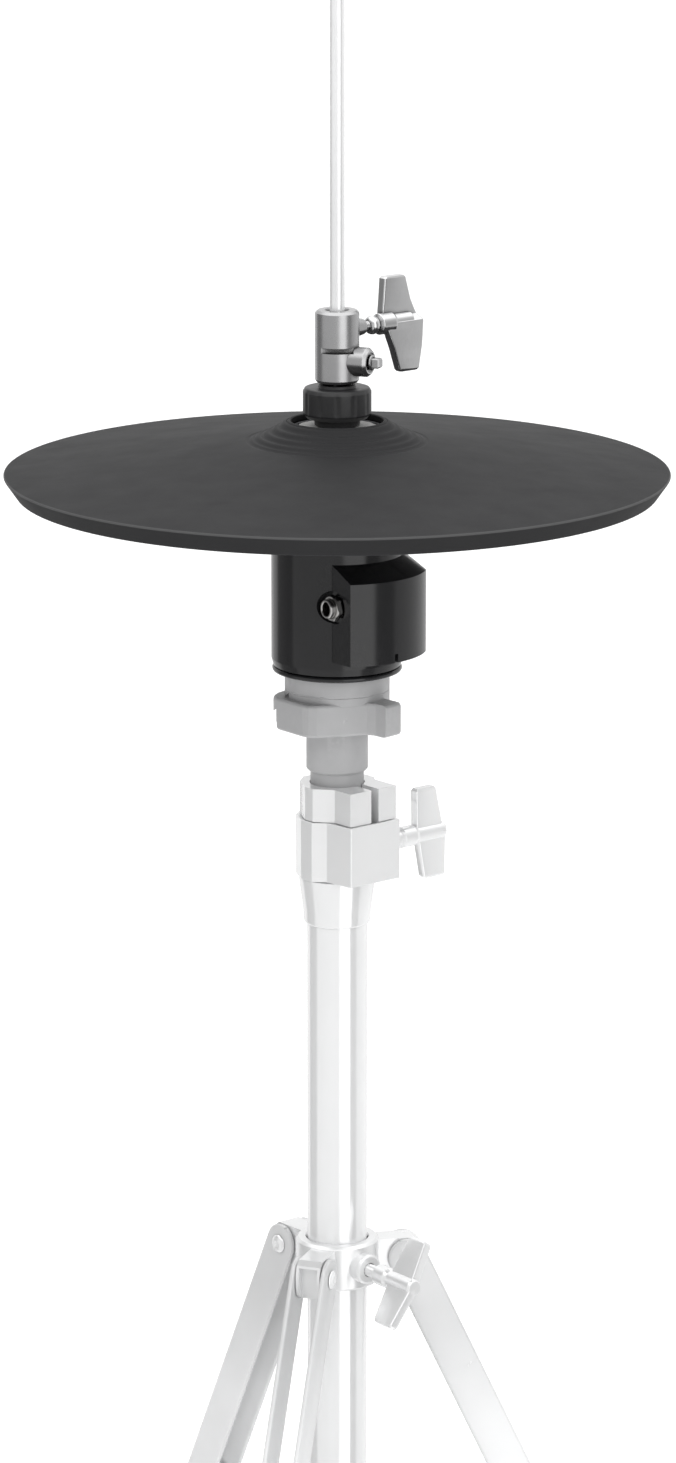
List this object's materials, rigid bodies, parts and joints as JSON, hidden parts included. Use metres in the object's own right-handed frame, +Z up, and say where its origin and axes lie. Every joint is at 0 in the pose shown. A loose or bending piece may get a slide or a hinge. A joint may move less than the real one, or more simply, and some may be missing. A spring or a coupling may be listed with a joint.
{
  "type": "hi hat",
  "caption": "Electronic-style hi hat: a rubber pad on a clutch and pull rod over a motion sensor unit, on a folding tripod stand with a foot pedal.",
  "frame": {"origin": "on the floor plane, under the axis of the stand's tube and pull rod, on the base plate's underside", "axes": "+Z up along the pull rod; -Y towards the viewer of the front view; +X to the right; the pedal points 47 degrees from -Y towards +X"},
  "size_m": [0.4157, 0.4357, 1.0285],
  "materials": {
    "pad_rubber": "matt moulded rubber, fine grain",
    "black_plastic": "black moulded plastic, semi-gloss",
    "stiff_plate": "glass-filled nylon, matt",
    "grey_felt": "pressed grey wool felt",
    "satin_steel": "satin nickel-plated steel",
    "chrome": "polished chrome plate",
    "pale_plastic": "light grey moulded plastic, satin",
    "black_rubber": "black rubber, matt",
    "brass": "sensor disc brass, bright",
    "sensor_film": "printed polyester sensor film",
    "green_board": "solder-masked circuit board",
    "spring_steel": "zinc-plated steel",
    "grey_webbing": "woven nylon strap, dark grey"
  },
  "bodies": {
    "stand": {"lower_tube": "chrome", "clamp_sleeve": "chrome", "clamp_band": "chrome", "clamp_bolt": "spring_steel", "lower_collar": "chrome", "brace_1_rivet": "chrome", "brace_2_rivet": "chrome", "brace_3_rivet": "chrome", "base_frame": "chrome", "base_plate": "chrome", "heel_pin": "spring_steel", "return_spring": "spring_steel"},
    "clamp_wing": {"clamp_wing_nut": "chrome"},
    "seat": {"seat_cup": "pale_plastic", "upper_tube": "pale_plastic", "sensor_housing": "black_plastic", "sensor_base": "black_plastic", "jack_socket": "chrome", "jack_nut": "chrome", "sensor_board": "green_board", "plunger_spring": "spring_steel"},
    "plunger": {"sensor_plunger": "black_rubber"},
    "rod": {"pull_rod": "chrome", "rod_coupling": "spring_steel", "pull_strap": "grey_webbing"},
    "clutch": {"clutch_body": "satin_steel", "clutch_key_bolt": "satin_steel", "clutch_tube": "satin_steel"},
    "clutch_wing": {"clutch_wing_bolt": "chrome"},
    "lock_nut": {"clutch_lock_nut": "black_plastic"},
    "bottom_nut": {"clutch_bottom_nut": "satin_steel"},
    "pad": {"pad_rubber": "pad_rubber", "pad_core": "stiff_plate", "edge_sensor": "sensor_film", "bow_piezo": "brass", "pad_bottom_cover": "black_plastic", "pad_hub": "black_plastic", "upper_felt": "grey_felt", "lower_felt": "grey_felt"},
    "collar": {"tripod_collar": "chrome"},
    "collar_wing": {"collar_wing_bolt": "chrome"},
    "pedal": {"footboard": "chrome"},
    "leg_1": {"leg_1_bar_a": "chrome", "leg_1_bar_b": "chrome", "leg_1_rivet": "chrome", "knee_1_rivet": "chrome", "foot_1": "black_rubber"},
    "brace_1": {"brace_1": "chrome"},
    "leg_2": {"leg_2_bar_a": "chrome", "leg_2_bar_b": "chrome", "leg_2_rivet": "chrome", "knee_2_rivet": "chrome", "foot_2": "black_rubber"},
    "brace_2": {"brace_2": "chrome"},
    "leg_3": {"leg_3_bar_a": "chrome", "leg_3_bar_b": "chrome", "leg_3_rivet": "chrome", "knee_3_rivet": "chrome", "foot_3": "black_rubber"},
    "brace_3": {"brace_3": "chrome"}
  },
  "joints": [
    {"name": "pedal_press", "type": "hinge", "parent": "stand", "child": "pedal", "pos_m": [0.18064, -0.16845, 0.022], "axis": [-0.682, -0.7314, 0], "range_deg": [0, 3.2]},
    {"name": "rod_slide", "type": "slide", "parent": "stand", "child": "rod", "axis": [0, 0, -1], "range_m": [0, 0.014], "stiffness_N_per_m": 1500, "springref_m": -0.025, "deforming": ["return_spring"]},
    {"name": "height_slide", "type": "slide", "parent": "stand", "child": "seat", "axis": [0, 0, 1], "range_m": [0, 0.12]},
    {"name": "plunger_slide", "type": "slide", "parent": "seat", "child": "plunger", "axis": [0, 0, -1], "range_m": [0, 0.014], "stiffness_N_per_m": 150, "springref_m": -0.006, "deforming": ["plunger_spring"]},
    {"name": "clutch_slide", "type": "slide", "parent": "rod", "child": "clutch", "axis": [0, 0, 1], "range_m": [0, 0.12]},
    {"name": "pad_rock", "type": "hinge", "parent": "clutch", "child": "pad", "pos_m": [0, 0, 0.821], "axis": [0.682, 0.7314, 0], "range_deg": [-1.5, 1.5], "stiffness_Nm_per_rad": 6},
    {"name": "lock_nut_turn", "type": "hinge", "parent": "clutch", "child": "lock_nut", "pos_m": [0, 0, 0.841], "axis": [0, 0, 1], "continuous": true},
    {"name": "bottom_nut_turn", "type": "hinge", "parent": "clutch", "child": "bottom_nut", "pos_m": [0, 0, 0.8088], "axis": [0, 0, 1], "continuous": true},
    {"name": "clutch_wing_turn", "type": "hinge", "parent": "clutch", "child": "clutch_wing", "pos_m": [0, 0, 0.8745], "axis": [0.766, 0.6428, 0], "continuous": true},
    {"name": "clamp_wing_turn", "type": "hinge", "parent": "stand", "child": "clamp_wing", "pos_m": [0.01196, -0.01425, 0.6324], "axis": [0.766, 0.6428, 0], "continuous": true},
    {"name": "tripod_fold", "type": "slide", "parent": "stand", "child": "collar", "axis": [0, 0, 1], "range_m": [0, 0.029]},
    {"name": "collar_wing_turn", "type": "hinge", "parent": "collar", "child": "collar_wing", "pos_m": [0, 0, 0.425], "axis": [0.6157, -0.788, 0], "continuous": true},
    {"name": "leg_1_fold", "type": "hinge", "parent": "collar", "child": "leg_1", "pos_m": [-0.01129, -0.03101, 0.425], "axis": [0.9397, -0.342, 0], "range_deg": [0, 22]},
    {"name": "brace_1_fold", "type": "hinge", "parent": "stand", "child": "brace_1", "pos_m": [-0.01129, -0.03101, 0.13997], "axis": [-0.9397, 0.342, 0], "range_deg": [0, 22]},
    {"name": "leg_2_fold", "type": "hinge", "parent": "collar", "child": "leg_2", "pos_m": [0.0325, 0.00573, 0.425], "axis": [-0.1736, 0.9848, 0], "range_deg": [0, 22]},
    {"name": "brace_2_fold", "type": "hinge", "parent": "stand", "child": "brace_2", "pos_m": [0.0325, 0.00573, 0.13997], "axis": [0.1736, -0.9848, 0], "range_deg": [0, 22]},
    {"name": "leg_3_fold", "type": "hinge", "parent": "collar", "child": "leg_3", "pos_m": [-0.02121, 0.02528, 0.425], "axis": [-0.766, -0.6428, 0], "range_deg": [0, 22]},
    {"name": "brace_3_fold", "type": "hinge", "parent": "stand", "child": "brace_3", "pos_m": [-0.02121, 0.02528, 0.13997], "axis": [0.766, 0.6428, 0], "range_deg": [0, 22]}
  ],
  "couplings": [
    {"joint": "rod_slide", "follows": "pedal_press", "m_per_rad": 0.247},
    {"joint": "plunger_slide", "follows": "pedal_press", "m_per_rad": 0.247},
    {"joint": "clutch_slide", "follows": "height_slide", "ratio": 1},
    {"joint": "leg_1_fold", "follows": "tripod_fold", "rad_per_m": 13.24},
    {"joint": "brace_1_fold", "follows": "tripod_fold", "rad_per_m": 13.24},
    {"joint": "leg_2_fold", "follows": "tripod_fold", "rad_per_m": 13.24},
    {"joint": "brace_2_fold", "follows": "tripod_fold", "rad_per_m": 13.24},
    {"joint": "leg_3_fold", "follows": "tripod_fold", "rad_per_m": 13.24},
    {"joint": "brace_3_fold", "follows": "tripod_fold", "rad_per_m": 13.24}
  ]
}
